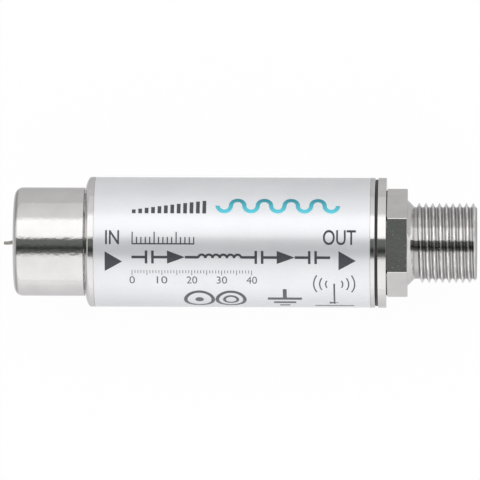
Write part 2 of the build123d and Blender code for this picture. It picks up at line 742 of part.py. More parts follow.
def earth_spring(x, y):
    """A bent strip soldered near the board's edge, whose bow touches the housing's bore."""
    half = SPRING_THICKNESS / 2
    level = TRACK_TOP + half
    reach = BORE_RADIUS - SPRING_CLEARANCE - half
    angle = radians(SPRING_TOUCH_ANGLE)
    touch = (reach * cos(angle), reach * sin(angle))
    tip = (touch[0] - SPRING_RETURN * sin(pi / 4), touch[1] + SPRING_RETURN * cos(pi / 4))
    inner, outer = abs(y) - SPRING_FOOT / 2, abs(y) + SPRING_FOOT / 2
    strip = trace(Polyline((inner, level), (outer, level), touch, tip), line_width=SPRING_THICKNESS)
    bent = extrude(across(x - SPRING_LENGTH / 2) * strip, SPRING_LENGTH)
    return bent if y > 0 else mirror(bent, Plane.XZ)


def earth_springs():
    return [earth_spring(x, y) for x, y in spring_feet()]


os.makedirs("parts", exist_ok=True)

save("housing", housing())
save("wrap_label", wrap_label())
save("end_cap", end_cap())
save("seam_seal", seam_seal())

save("socket_body", socket_body())
save("socket_front_insulator", socket_front_insulator())
save("socket_contact", socket_contact())
save("socket_rear_insulator", socket_rear_insulator())
save("socket_tooth_washer", tooth_washer())
save("socket_lock_nut", lock_nut())

save("plug_post", plug_post())
save("coupling_sleeve", coupling_sleeve())
save("coupling_collet", coupling_collet())
save("plug_insulator", plug_insulator())
save("centre_pin", centre_pin())

save("circuit_board", circuit_board())
save("ground_plane", ground_plane())
save("copper_tracks", *copper_tracks())
save("solder_joints", *solder_joints())
save("earth_springs", *earth_springs())

capacitors = chips(CAPACITOR_PLACE_SHARES)
resistors = chips(RESISTOR_PLACE_SHARES)
tantalum, tantalum_ends = in_line(
    TANTALUM_PLACE_SHARES, TANTALUM_LENGTH, TANTALUM_WIDTH, TANTALUM_HEIGHT, TANTALUM_TERMINAL)
diode, diode_ends = in_line(
    DIODE_PLACE_SHARES, DIODE_LENGTH, DIODE_WIDTH, DIODE_HEIGHT, DIODE_TERMINAL)
terminals = [end for _, ends in capacitors + resistors for end in ends]
save("coupling_capacitors", *[body for body, _ in capacitors])
save("bias_resistors", *[body for body, _ in resistors])
save("smoothing_capacitor", tantalum)
save("surge_diode", diode)
save("chip_terminals", *terminals, *tantalum_ends, *diode_ends)
save("amplifier_chip", amplifier_chip())
save("amplifier_leads", *amplifier_leads())
save("choke_cores", *[choke_core(place) for place in CHOKE_PLACE_SHARES])
save("choke_windings", *[choke_winding(place) for place in CHOKE_PLACE_SHARES])
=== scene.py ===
from math import ceil, cos, pi, radians, sin

import bpy
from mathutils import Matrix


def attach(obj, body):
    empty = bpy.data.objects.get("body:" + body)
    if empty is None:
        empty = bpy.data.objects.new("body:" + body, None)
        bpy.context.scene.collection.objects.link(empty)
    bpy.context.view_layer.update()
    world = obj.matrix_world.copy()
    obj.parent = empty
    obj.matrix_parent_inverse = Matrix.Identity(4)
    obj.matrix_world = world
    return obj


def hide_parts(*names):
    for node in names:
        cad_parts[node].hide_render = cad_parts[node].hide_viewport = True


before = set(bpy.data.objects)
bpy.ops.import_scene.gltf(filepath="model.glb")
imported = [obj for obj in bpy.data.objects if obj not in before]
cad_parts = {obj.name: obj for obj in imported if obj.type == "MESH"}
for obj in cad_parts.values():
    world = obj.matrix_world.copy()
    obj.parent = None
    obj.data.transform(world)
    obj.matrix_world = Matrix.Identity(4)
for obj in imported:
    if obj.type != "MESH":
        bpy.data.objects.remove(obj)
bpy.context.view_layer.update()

MM = 0.001
CASE = "amplifier_case"
COUPLING = "coupling"

# Stations along the axis from the plug to the socket, in millimetres

TIP_X = -27.85
RIM_X = -26.55
COLLET_X = -25.75
POST_X = -19.77
RING_X = -18.97
SLEEVE_REAR_X = -18.24
RING_REAR_X = -18.22
FRONT_X = -18.12
LABEL_X = -17.02
INNER_X = -16.52
POST_END_X = -16.1
PIN_END_X = -12.43
TAIL_X = 8.44
SHANK_X = 11.29
SPIGOT_X = 13.64
LABEL_END_X = 15.37
REAR_X = 15.95
CAP_X = 16.24
HEX_X = 17.22
NECK_X = 19.69
THREAD_X = 20.52
SOCKET_BUSH_X = 22.45
BORE_STEP_X = 26.65
JAW_END_X = 26.77
FACE_X = 27.85

# Radii, in millimetres

HOUSING_RADIUS = 7.65
LABEL_RADIUS = 7.63
SEAT_RADIUS = 7.57
SEAL_RADIUS = 7.45
BORE_RADIUS = 6.75
SPIGOT_RADIUS = 6.73
HEX_CORNER_RADIUS = 6.39
SLEEVE_RADIUS = 6.38
COLLET_RADIUS = 5.17
NECK_RADIUS = 5.05
CREST_RADIUS = 4.7
SHANK_RADIUS = 4.499
POST_FLANGE_RADIUS = 4.4
ROOT_RADIUS = 4.22
POST_RADIUS = 3.498
BARREL_BORE = 3.3
SHANK_BORE = 3.199
FACE_BORE = 2.7
POST_BORE = 2.298
CONTACT_RADIUS = 0.5
PIN_RADIUS = 0.3

THREAD_PITCH = 0.79375


# Shaping tools


def open_piece(name):
    """Names the primitive that was just added, and opens it for editing with all of it selected."""
    piece = bpy.context.object
    piece.name = piece.data.name = name
    bpy.ops.object.transform_apply(location=True, rotation=True, scale=True)
    bpy.ops.object.mode_set(mode="EDIT")
    bpy.ops.mesh.select_all(action="SELECT")
    return piece


def close_piece(piece):
    """Ends the editing: seams joined, faces outwards."""
    bpy.ops.mesh.select_all(action="SELECT")
    bpy.ops.mesh.remove_doubles(threshold=1e-7)
    bpy.ops.mesh.normals_make_consistent(inside=False)
    bpy.ops.object.mode_set(mode="OBJECT")
    return piece


def only(piece):
    """Selects one piece and nothing else."""
    bpy.ops.object.select_all(action="DESELECT")
    piece.select_set(True)
    bpy.context.view_layer.objects.active = piece


def edit(piece):
    """Opens one piece for editing with all of it selected."""
    only(piece)
    bpy.ops.object.mode_set(mode="EDIT")
    bpy.ops.mesh.select_all(action="SELECT")


def settle(piece):
    """Takes the place, turn and size of a piece into its mesh."""
    only(piece)
    bpy.ops.object.transform_apply(location=True, rotation=True, scale=True)


def apply_modifier(piece, kind, **settings):
    """Gives a piece a modifier and applies it."""
    only(piece)
    modifier = piece.modifiers.new(kind.title(), kind)
    for key, value in settings.items():
        setattr(modifier, key, value)
    bpy.ops.object.modifier_apply(modifier=modifier.name)


def draw_outline(name, points):
    """Draws a line of (station, radius) points above the axis, vertex by vertex."""
    bpy.ops.object.select_all(action="DESELECT")
    x, radius = points[0]
    bpy.ops.mesh.primitive_plane_add(size=MM, location=(x * MM, 0, radius * MM))
    piece = open_piece(name)
    bpy.ops.mesh.merge(type="CENTER")
    for (x0, r0), (x1, r1) in zip(points, points[1:]):
        step = ((x1 - x0) * MM, 0, (r1 - r0) * MM)
        bpy.ops.mesh.extrude_region_move(TRANSFORM_OT_translate={"value": step})
    return piece


def rounding(x, radius, size, start=0, end=pi / 2, steps=8):
    """Points of an outline's round stretch about (x, radius). Its angles start at the plug's side."""
    angles = [start + (end - start) * step / steps for step in range(steps + 1)]
    return [(x - size * cos(angle), radius + size * sin(angle)) for angle in angles]


def turn(name, points, steps=128, angle=2 * pi, closed=True):
    """Turns an outline about the axis, as on a lathe."""
    points = list(points)
    piece = draw_outline(name, points + points[:1] if closed else points)
    bpy.ops.mesh.select_all(action="SELECT")
    bpy.ops.mesh.remove_doubles(threshold=1e-7)
    bpy.ops.mesh.spin(steps=steps, angle=angle, center=(0, 0, 0), axis=(1, 0, 0))
    return close_piece(piece)


def round_edges(piece, width, segments=3):
    """Breaks every sharp edge with a small rounding."""
    apply_modifier(
        piece, "BEVEL", width=width * MM, segments=segments, limit_method="ANGLE",
        angle_limit=radians(28), use_clamp_overlap=True)


def smooth(piece, limit=32):
    """Smooth shading that keeps the large faces true beside their roundings."""
    only(piece)
    bpy.ops.object.shade_smooth_by_angle(angle=radians(limit))
    apply_modifier(piece, "WEIGHTED_NORMAL", mode="FACE_AREA", weight=80, keep_sharp=True)


def cut(piece, other, operation):
    """Cuts a piece with another, or keeps only what both hold, and removes the other."""
    apply_modifier(piece, "BOOLEAN", operation=operation, object=other, solver="EXACT")
    bpy.data.objects.remove(other)


def join(name, pieces):
    """Makes several pieces one."""
    only(pieces[0])
    for piece in pieces:
        piece.select_set(True)
    bpy.ops.object.join()
    pieces[0].name = pieces[0].data.name = name
    return pieces[0]


def fit_out(piece, body, slot, finish, *nodes):
    """Gives a finished piece its material and the body that it moves with."""
    piece.data.materials.clear()
    piece.data.materials.append(finish)
    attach(piece, body)
    if nodes:
        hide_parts(*nodes)
    return piece


# Material tools


class Value:
    """A socket of a node tree. Python's operators on it add Math nodes."""

    def __init__(self, maker, socket):
        self.maker = maker
        self.socket = socket

    def other(self, name):
        """Another output of the same node."""
        return Value(self.maker, self.socket.node.outputs[name])

    def maths(self, operation, first, second):
        """A Math node on two values or numbers."""
        return self.maker.add("Math", {"operation": operation}, {0: first, 1: second})

    def __add__(self, other):
        return self.maths("ADD", self, other)

    __radd__ = __add__

    def __mul__(self, other):
        return self.maths("MULTIPLY", self, other)

    __rmul__ = __mul__

    def __sub__(self, other):
        return self.maths("SUBTRACT", self, other)

    def __rsub__(self, other):
        return self.maths("SUBTRACT", other, self)

    def __truediv__(self, other):
        return self.maths("DIVIDE", self, other)

    def __gt__(self, other):
        return self.maths("GREATER_THAN", self, other)

    def __pow__(self, other):
        return self.maths("POWER", self, other)


class Maker:
    """Puts the nodes of one material, or of the world, together."""

    def __init__(self, owner):
        owner.use_nodes = True
        self.tree = owner.node_tree
        self.tree.nodes.clear()

    def add(self, kind, settings=None, sockets=None, output=0):
        """Adds a node: its settings first, then the values or links of its sockets."""
        node = self.tree.nodes.new("ShaderNode" + kind)
        for key, value in (settings or {}).items():
            if key == "stops":
                self.set_stops(node.color_ramp, value)
            else:
                setattr(node, key, value)
        for key, value in (sockets or {}).items():
            if isinstance(value, Value):
                self.tree.links.new(value.socket, node.inputs[key])
            else:
                node.inputs[key].default_value = value
        return Value(self, node.outputs[output]) if node.outputs else node

    @staticmethod
    def set_stops(ramp, stops):
        """Gives a colour ramp its stops: places with a grey level or a colour."""
        while len(ramp.elements) < len(stops):
            ramp.elements.new(0.5)
        for element, (place, level) in zip(ramp.elements, stops):
            element.position = place
            shade = (level,) * 3 if isinstance(level, (int, float)) else level
            element.color = (*shade, 1)

    def place(self):
        """The place on the piece, in millimetres."""
        spot = self.add("TexCoord", output="Object")
        return self.add("VectorMath", {"operation": "SCALE"}, {0: spot, "Scale": 1 / MM})

    def parts(self, vector):
        """The three numbers of a vector."""
        x = self.add("SeparateXYZ", sockets={0: vector})
        return x, x.other("Y"), x.other("Z")

    def stretched(self, vector, scale):
        """A place with each direction scaled by itself, for a pattern that runs one way."""
        return self.add("VectorMath", {"operation": "MULTIPLY"}, {0: vector, 1: scale})

    def noise(self, vector, scale, detail=2.0, roughness=0.5):
        """A cloudy pattern from 0 to 1."""
        return self.add("TexNoise", sockets={
            "Vector": vector, "Scale": scale, "Detail": detail, "Roughness": roughness})

    def largest(self, first, second):
        """The larger of two values at each place."""
        return self.add("Math", {"operation": "MAXIMUM"}, {0: first, 1: second})

    def mix(self, factor, first, second):
        """A colour between two colours."""
        return self.add("Mix", {"data_type": "RGBA"}, {0: factor, 6: first, 7: second}, output=2)

    def between(self, value, low, high, start=0.0, end=1.0):
        """The value's range low to high, spread from start to end and kept there."""
        return self.add("MapRange", {"clamp": True}, {
            "Value": value, "From Min": low, "From Max": high, "To Min": start, "To Max": end})

    def bump(self, height, depth, before=None):
        """A surface relief whose full height is depth, in millimetres."""
        sockets = {"Height": height, "Strength": 1.0, "Distance": depth * MM}
        if before is not None:
            sockets["Normal"] = before
        return self.add("Bump", sockets=sockets)

    def surface(self, **sockets):
        """Ends a material with a surface that has these values."""
        shader = self.add("BsdfPrincipled", sockets={
            key.replace("_", " "): value for key, value in sockets.items()})
        self.add("OutputMaterial", sockets={"Surface": shader})


def rgb(red, green, blue):
    return (red, green, blue, 1.0)


def new_material(name):
    material = bpy.data.materials.new(name)
    return material, Maker(material)


# Finishes


def nickel(name, light, dark, peel, scratch, pits=0.0, groove_shade_level=1.0, shaded_rim=False):
    """Bright nickel plate: orange peel, fine turning marks, dull dust and, where wanted, painted light
    and shade on the thread and a painted shade band behind the rim.
    """
    material, make = new_material(name)
    spot = make.place()
    cloud = make.noise(spot, 0.35, 3.0)
    ripple = make.noise(spot, 2.6)
    grain = make.noise(spot, 7.0)
    marks = make.noise(make.stretched(spot, (26.0, 0.8, 0.8)), 1.0, 3.0, 0.6)
    tone = make.between(cloud + 0.3 * marks, 0.45, 0.85)
    colour = make.mix(tone, rgb(*light), rgb(*dark))
    rough = make.between(0.7 * cloud + 0.3 * grain, 0.35, 0.65, 0.035, 0.085)
    dust = make.noise(make.stretched(spot, (3.0, 4.5, 4.5)), 1.0, 3.0, 0.65)
    rough = rough + make.between(dust, 0.58, 0.70, 0.0, 0.09)
    if pits:
        rough = rough + 0.24 * specks(make, spot, pits)
    # where wanted, the thread gets painted light and painted shade in its grooves
    if groove_shade_level < 1:
        colour, rough = painted_thread_light(make, spot, colour, rough, rgb(*(groove_shade_level * part for part in dark)))
    if shaded_rim:
        # painted shade: a dark band behind the sleeve's rim
        colour = make.mix(rim_shade_band(make, spot), colour, rgb(0.33, 0.325, 0.32))
    relief = make.bump(ripple, peel)
    relief = make.bump(grain, peel * 0.30, relief)
    relief = make.bump(marks, scratch, relief)
    make.surface(
        Base_Color=colour, Metallic=1.0, Roughness=rough, Normal=relief,
        Specular_Tint=rgb(0.78, 0.77, 0.79))
    return material


def specks(make, spot, share):
    """Where small pits stand, in this share of the cells of a net."""
    cells = make.add("TexVoronoi", {"feature": "F1"}, {"Vector": spot, "Scale": 2.6})
    chance = make.parts(cells.other("Color"))[0]
    return make.between(cells, 0.14, 0.36, 1.0, 0.0) * (chance > 1 - share)


def painted_thread_light(make, spot, colour, rough, groove_shade_colour):
    """The thread's plating: a lighter copy of it with random streaks along it, which is painted light,
    and painted shade in the grooves between the crests.
    """
    x, y, z = make.parts(spot)
    on_thread = x > THREAD_X
    radius = (y * y + z * z) ** 0.5
    # painted shade: the grooves between the crests are darkened
    groove_shade_mask = on_thread * make.between(radius, ROOT_RADIUS + 0.05, CREST_RADIUS - 0.12, 1.0, 0.0)
    streaks = make.noise(make.stretched(spot, (8.0, 0.7, 0.7)), 1.0, 2.0, 0.6)
    # painted light: the thread is a lighter copy of the plating, with random streaks along it
    streaked_and_lightened = make.mix(
        make.between(streaks, 0.38, 0.60), rgb(0.95, 0.94, 0.93), rgb(0.60, 0.59, 0.58))
    colour = make.mix(groove_shade_mask, make.mix(on_thread, colour, streaked_and_lightened), groove_shade_colour)
    return colour, rough + on_thread * 0.01


def rim_shade_band(make, spot):
    """A painted shade: the dark band behind the sleeve's rim."""
    x = make.parts(spot)[0]
    fades_in = make.between(x, RIM_X + 0.16, RIM_X + 0.30)
    fades_out = make.between(x, RIM_X + 0.42, RIM_X + 0.60, 1.0, 0.0)
    return fades_out * fades_in


def worked_metal(name, light, dark, rough_low, rough_high, grain_size, depth):
    """A plain metal with a grain of its own: spring bronze, zinc plate, solder or tin."""
    material, make = new_material(name)
    spot = make.place()
    cloud = make.noise(spot, 0.6, 3.0)
    grain = make.noise(spot, grain_size, 3.0, 0.6)
    colour = make.mix(make.between(cloud * 0.6 + grain * 0.4, 0.35, 0.65), rgb(*light), rgb(*dark))
    rough = make.between(grain, 0.3, 0.7, rough_low, rough_high)
    make.surface(
        Base_Color=colour, Metallic=1.0, Roughness=rough, Normal=make.bump(grain, depth))
    return material


def moulded(name, light, dark, rough_low, rough_high, grain_size, depth):
    """A plastic, ceramic or rubber with a fine grain and a slight change of tone."""
    material, make = new_material(name)
    spot = make.place()
    cloud = make.noise(spot, 0.5)
    grain = make.noise(spot, grain_size, 3.0, 0.55)
    colour = make.mix(make.between(cloud * 0.5 + grain * 0.5, 0.35, 0.65), rgb(*light), rgb(*dark))
    rough = make.between(grain, 0.3, 0.7, rough_low, rough_high)
    make.surface(Base_Color=colour, Roughness=rough, Normal=make.bump(grain, depth))
    return material


def label_film():
    """Silver polyester film: a fine metallic speckle under a satin face."""
    material, make = new_material("silver_label_film")
    spot = make.place()
    cloud = make.noise(spot, 0.22)
    flake = make.noise(spot, 9.0, 2.0, 0.7)
    glint = make.noise(spot, 24.0, 1.0)
    tone = make.between(cloud * 0.4 + flake * 0.6, 0.38, 0.62)
    colour = make.mix(tone, rgb(0.675, 0.688, 0.712), rgb(0.725, 0.738, 0.762))
    rough = make.between(glint, 0.3, 0.7, 0.48, 0.56)
    metal = make.between(flake, 0.35, 0.65, 0.74, 0.84)
    make.surface(
        Base_Color=colour, Metallic=metal, Roughness=rough, Normal=make.bump(flake, 0.0006),
        Specular_Tint=rgb(0.45, 0.45, 0.47), Coat_Weight=0.85, Coat_Roughness=0.2, Coat_IOR=2.3)
    return material


def ink(name, light, dark):
    """Screen print: nearly even, with a slight mottle and satin gloss."""
    material, make = new_material(name)
    grain = make.noise(make.place(), 11.0)
    colour = make.mix(make.between(grain, 0.35, 0.65), rgb(*light), rgb(*dark))
    rough = make.between(grain, 0.3, 0.7, 0.34, 0.46)
    make.surface(Base_Color=colour, Roughness=rough, Normal=make.bump(grain, 0.0004))
    return material


def fading_ink():
    """The blue-green print, deep at its upper edge and light at its lower one."""
    material, make = new_material("blue_green_ink")
    spot = make.place()
    height = make.parts(spot)[1]
    grain = make.noise(spot, 11.0)
    fade = make.between(height + 0.2 * grain, 3.45, 5.2)
    colour = make.mix(fade, rgb(0.10, 0.62, 0.74), rgb(0.005, 0.19, 0.25))
    make.surface(
        Base_Color=colour, Roughness=make.between(grain, 0.3, 0.7, 0.34, 0.46),
        Normal=make.bump(grain, 0.0004))
    return material


def laminate():
    """Green solder mask over the weave of the glass cloth."""
    material, make = new_material("board_laminate")
    spot = make.place()
    warp, weft = (
        make.add("TexWave", {"bands_direction": way}, {"Vector": spot, "Scale": 0.9}).other("Fac")
        for way in "XY")
    weave = warp * 0.5 + weft * 0.5
    colour = make.mix(weave, rgb(0.05, 0.22, 0.10), rgb(0.09, 0.32, 0.16))
    make.surface(
        Base_Color=colour, Roughness=make.between(weave, 0.0, 1.0, 0.30, 0.42),
        Normal=make.bump(weave, 0.002))
    return material


housing_nickel = nickel(
    "housing_nickel", light=(0.62, 0.61, 0.60), dark=(0.57, 0.56, 0.555), peel=0.0060, scratch=0.00030)
# the sleeve's plating has a painted shade band behind its rim
coupling_nickel = nickel(
    "coupling_nickel", light=(0.62, 0.61, 0.60), dark=(0.57, 0.56, 0.56), peel=0.0125, scratch=0.00040,
    shaded_rim=True)
# the socket's thread gets painted light and painted shade in its grooves
socket_nickel = nickel(
    "socket_nickel", light=(0.60, 0.59, 0.58), dark=(0.54, 0.53, 0.525), peel=0.0060, scratch=0.00040,
    pits=0.4, groove_shade_level=0.72)

# Two colours, the least and most roughness, then how fine and how deep the grain is
WORKED_METALS = {
    "tinned_copper_pin": ((0.33, 0.32, 0.295), (0.22, 0.21, 0.19), 0.16, 0.28, 6.0, 0.0010),
    "gold_flashed_bronze": ((0.86, 0.66, 0.34), (0.74, 0.55, 0.28), 0.14, 0.26, 6.0, 0.0010),
    "phosphor_bronze": ((0.78, 0.60, 0.40), (0.64, 0.46, 0.29), 0.20, 0.32, 5.0, 0.0015),
    "zinc_plated_steel": ((0.66, 0.67, 0.68), (0.52, 0.53, 0.55), 0.28, 0.42, 4.0, 0.0020),
    "tinned_copper_foil": ((0.80, 0.54, 0.35), (0.66, 0.42, 0.26), 0.22, 0.34, 5.0, 0.0010),
    "bright_solder": ((0.76, 0.77, 0.78), (0.62, 0.63, 0.65), 0.14, 0.30, 2.0, 0.0040),
    "tin_plate": ((0.72, 0.73, 0.74), (0.60, 0.61, 0.62), 0.24, 0.36, 6.0, 0.0015),
    "enamelled_wire": ((0.62, 0.28, 0.12), (0.46, 0.18, 0.07), 0.20, 0.34, 4.0, 0.0030),
}
MOULDINGS = {
    "black_seal_rubber": ((0.022, 0.022, 0.024), (0.040, 0.040, 0.043), 0.50, 0.66, 6.0, 0.0060),
    "white_insulator_plastic": ((0.84, 0.83, 0.79), (0.90, 0.89, 0.86), 0.32, 0.45, 3.0, 0.0030),
    "black_epoxy": ((0.030, 0.030, 0.033), (0.050, 0.050, 0.055), 0.45, 0.60, 9.0, 0.0040),
    "fired_ceramic": ((0.58, 0.46, 0.33), (0.66, 0.55, 0.41), 0.30, 0.45, 8.0, 0.0020),
    "glazed_film": ((0.025, 0.025, 0.030), (0.060, 0.060, 0.070), 0.18, 0.32, 8.0, 0.0010),
    "yellow_epoxy": ((0.76, 0.52, 0.07), (0.86, 0.63, 0.13), 0.34, 0.48, 6.0, 0.0030),
    "sintered_ferrite": ((0.09, 0.09, 0.10), (0.15, 0.15, 0.16), 0.45, 0.62, 9.0, 0.0040),
}
finishes = {name: worked_metal(name, *look) for name, look in WORKED_METALS.items()}
finishes.update((name, moulded(name, *look)) for name, look in MOULDINGS.items())
finishes["board_laminate"] = laminate()
silver_film = label_film()
dark_ink = ink("dark_grey_ink", (0.030, 0.034, 0.042), (0.050, 0.055, 0.065))
grey_ink = ink("grey_ink", (0.075, 0.082, 0.095), (0.11, 0.118, 0.13))
blue_green_ink = fading_ink()


# The tube, its label, its seal and its cap

DOME_RADIUS = 2.117
DOME_FOOT = 6.32
DOME_SWEEP = radians(32.3)
CROWN_RADIUS = 0.43
REAR_ROUNDING = 0.22
POST_HOLE_RADIUS = 3.52
crown_x = FRONT_X + DOME_RADIUS * (1 - cos(DOME_SWEEP)) + CROWN_RADIUS * cos(DOME_SWEEP)
housing = turn("housing_tube", [
    (FRONT_X, POST_HOLE_RADIUS),
    *rounding(FRONT_X + DOME_RADIUS, DOME_FOOT, DOME_RADIUS, end=DOME_SWEEP)[:-1],
    *rounding(crown_x, HOUSING_RADIUS - CROWN_RADIUS, CROWN_RADIUS, start=DOME_SWEEP, steps=6),
    (LABEL_X, HOUSING_RADIUS), (LABEL_X, SEAT_RADIUS),
    (LABEL_END_X, SEAT_RADIUS), (LABEL_END_X, HOUSING_RADIUS),
    *rounding(REAR_X - REAR_ROUNDING, HOUSING_RADIUS - REAR_ROUNDING, REAR_ROUNDING, pi / 2, pi, 4),
    (REAR_X, BORE_RADIUS), (INNER_X, BORE_RADIUS), (INNER_X, POST_HOLE_RADIUS),
], steps=192)
round_edges(housing, 0.07)
smooth(housing)
fit_out(housing, CASE, "housing_nickel", housing_nickel, "housing")

FILM_THICKNESS = 0.055
FILM_PLAY = 0.02
JOINT_WIDTH = 0.5
JOINT_ANGLE = JOINT_WIDTH / 7.6  # over the middle of the film
label_inside = LABEL_RADIUS - FILM_THICKNESS
label = turn(
    "label_film", [(LABEL_X + FILM_PLAY, label_inside), (LABEL_END_X - FILM_PLAY, label_inside)],
    steps=188, angle=2 * pi - JOINT_ANGLE, closed=False)
# the film's joint is turned to the back
edit(label)
bpy.ops.transform.rotate(value=pi + JOINT_ANGLE / 2, orient_axis="X", center_override=(0, 0, 0))
bpy.ops.object.mode_set(mode="OBJECT")
apply_modifier(label, "SOLIDIFY", thickness=FILM_THICKNESS * MM, offset=1.0)
smooth(label)
fit_out(label, CASE, "label_foil", silver_film, "wrap_label")

CAP_HOLE_RADIUS = 4.519
cap = turn("end_cap_disc", [
    (SPIGOT_X, CAP_HOLE_RADIUS), (HEX_X, CAP_HOLE_RADIUS), (HEX_X, HOUSING_RADIUS),
    (CAP_X, HOUSING_RADIUS), (CAP_X, SPIGOT_RADIUS), (SPIGOT_X, SPIGOT_RADIUS),
], steps=192)
round_edges(cap, 0.05)
smooth(cap)
fit_out(cap, CASE, "housing_nickel", housing_nickel, "end_cap")

seal = turn("seam_seal_ring", [
    (REAR_X, BORE_RADIUS), (CAP_X, BORE_RADIUS), (CAP_X, SEAL_RADIUS - 0.05),
    (CAP_X - 0.1, SEAL_RADIUS), (REAR_X + 0.1, SEAL_RADIUS), (REAR_X, SEAL_RADIUS - 0.05),
])
round_edges(seal, 0.05)
smooth(seal)
fit_out(seal, CASE, "seal_black", finishes["black_seal_rubber"], "seam_seal")


# The threaded socket: a hexagon flange, a neck and a barrel


def hexagon_flange():
    """The hexagon, with the corners of its cap side turned down."""
    bpy.ops.object.select_all(action="DESELECT")
    bpy.ops.mesh.primitive_cylinder_add(
        vertices=6, radius=HEX_CORNER_RADIUS * MM, depth=(NECK_X - HEX_X) * MM,
        location=((HEX_X + NECK_X) / 2 * MM, 0, 0), rotation=(0, pi / 2, 0))
    flange = open_piece("socket_flange")
    bpy.ops.transform.rotate(value=-radians(3), orient_axis="X", center_override=(0, 0, 0))
    close_piece(flange)
    round_edges(flange, 0.11, 4)
    bore, foot, outside = 4.4, 6.1, 6.85
    cut(flange, turn("flange_limit", [
        (HEX_X, bore), (HEX_X, foot), (HEX_X + 0.45, outside), (NECK_X, outside), (NECK_X, bore),
    ], steps=144), "INTERSECT")
    return flange


def socket_barrel():
    """The barrel with its bore, the neck and the shank that goes through the cap."""
    lip_radius = 4.13
    return turn("socket_barrel", [
        (SHANK_X, SHANK_BORE), (NECK_X + 0.1, SHANK_BORE), (NECK_X + 0.1, BARREL_BORE),
        (BORE_STEP_X, BARREL_BORE), (BORE_STEP_X, FACE_BORE),
        (FACE_X - 0.05, FACE_BORE), (FACE_X, FACE_BORE + 0.05),
        (FACE_X, lip_radius), (FACE_X - 0.03, lip_radius + 0.04), (FACE_X - 0.07, ROOT_RADIUS),
        (THREAD_X, ROOT_RADIUS), (NECK_X, NECK_RADIUS), (NECK_X - 0.3, NECK_RADIUS),
        (NECK_X - 0.3, SHANK_RADIUS), (SHANK_X, SHANK_RADIUS),
    ], steps=144)


# One flank of the thread: how far from the crest's middle in pitches, and how high over the root
THREAD_FLANK = ((0.03, 0.48), (0.06, 0.46), (0.09, 0.42), (0.36, 0.03), (0.40, -0.002), (0.41, -0.08))
RIDGE_START_X = THREAD_X + 0.35
FRONT_CREST_X = 21.229


def thread_ridge():
    """The thread's ridge, wound along the barrel and ended by a cone at its mouth."""
    rear_flank = [(-share, height) for share, height in reversed(THREAD_FLANK)]
    ridge = draw_outline("thread_ridge", [
        (RIDGE_START_X + share * THREAD_PITCH, ROOT_RADIUS + height)
        for share, height in (*rear_flank, *THREAD_FLANK, rear_flank[0])])
    bpy.ops.mesh.select_all(action="SELECT")
    bpy.ops.mesh.remove_doubles(threshold=1e-7)
    bpy.ops.transform.rotate(
        value=2 * pi * (FRONT_CREST_X - RIDGE_START_X) / THREAD_PITCH, orient_axis="X",
        center_override=(0, 0, 0))
    bpy.ops.object.mode_set(mode="OBJECT")
    apply_modifier(
        ridge, "SCREW", axis="X", angle=2 * pi, screw_offset=THREAD_PITCH * MM, iterations=10,
        steps=96, render_steps=96, use_merge_vertices=True, merge_threshold=1e-7)
    edit(ridge)
    bpy.ops.mesh.remove_doubles(threshold=1e-6)
    bpy.ops.mesh.select_all(action="SELECT")
    bpy.ops.mesh.fill_holes(sides=0)
    close_piece(ridge)
    rear, end, inside, outside = 20.0, FACE_X - 0.03, 4.0, 6.0
    cut(ridge, turn("ridge_limit", [
        (rear, inside), (rear, outside), (FACE_X - 0.92, outside), (FACE_X - 0.42, CREST_RADIUS),
        (end, 4.18), (end, inside),
    ], steps=144), "INTERSECT")
    return ridge


flange = hexagon_flange()
barrel = socket_barrel()
socket = join("threaded_socket", [barrel, thread_ridge(), flange])
smooth(socket)
fit_out(socket, CASE, "socket_nickel", socket_nickel, "socket_body")

BUSH_MOUTH_X = FACE_X - 0.04
ENTRY_X = JAW_END_X + 0.08
JAW_SPACE_RADIUS = 1.08
ENTRY_RADIUS = 0.75
bush = turn("socket_bush", [
    (SOCKET_BUSH_X, JAW_SPACE_RADIUS), (ENTRY_X, JAW_SPACE_RADIUS), (ENTRY_X, ENTRY_RADIUS),
    (BUSH_MOUTH_X - 0.3, ENTRY_RADIUS), (BUSH_MOUTH_X, ENTRY_RADIUS + 0.4),
    (BUSH_MOUTH_X, FACE_BORE - 0.02), (BORE_STEP_X - 0.02, FACE_BORE - 0.02),
    (BORE_STEP_X - 0.02, BARREL_BORE - 0.02), (SOCKET_BUSH_X, BARREL_BORE - 0.02),
], steps=96)
round_edges(bush, 0.05)
smooth(bush)
fit_out(bush, CASE, "insulator_white", finishes["white_insulator_plastic"], "socket_front_insulator")


def slot_cutter(start_x, end_x, across, width, turned_by):
    """A flat bar through the axis, for cutting two slots that face each other."""
    middle = ((start_x + end_x) / 2 * MM, 0, 0)
    bpy.ops.object.select_all(action="DESELECT")
    bpy.ops.mesh.primitive_cube_add(size=MM, location=middle)
    bar = open_piece("slot_cutter")
    bpy.ops.transform.resize(value=(end_x - start_x, across, width), center_override=middle)
    bpy.ops.transform.rotate(value=turned_by, orient_axis="X", center_override=(0, 0, 0))
    return close_piece(bar)


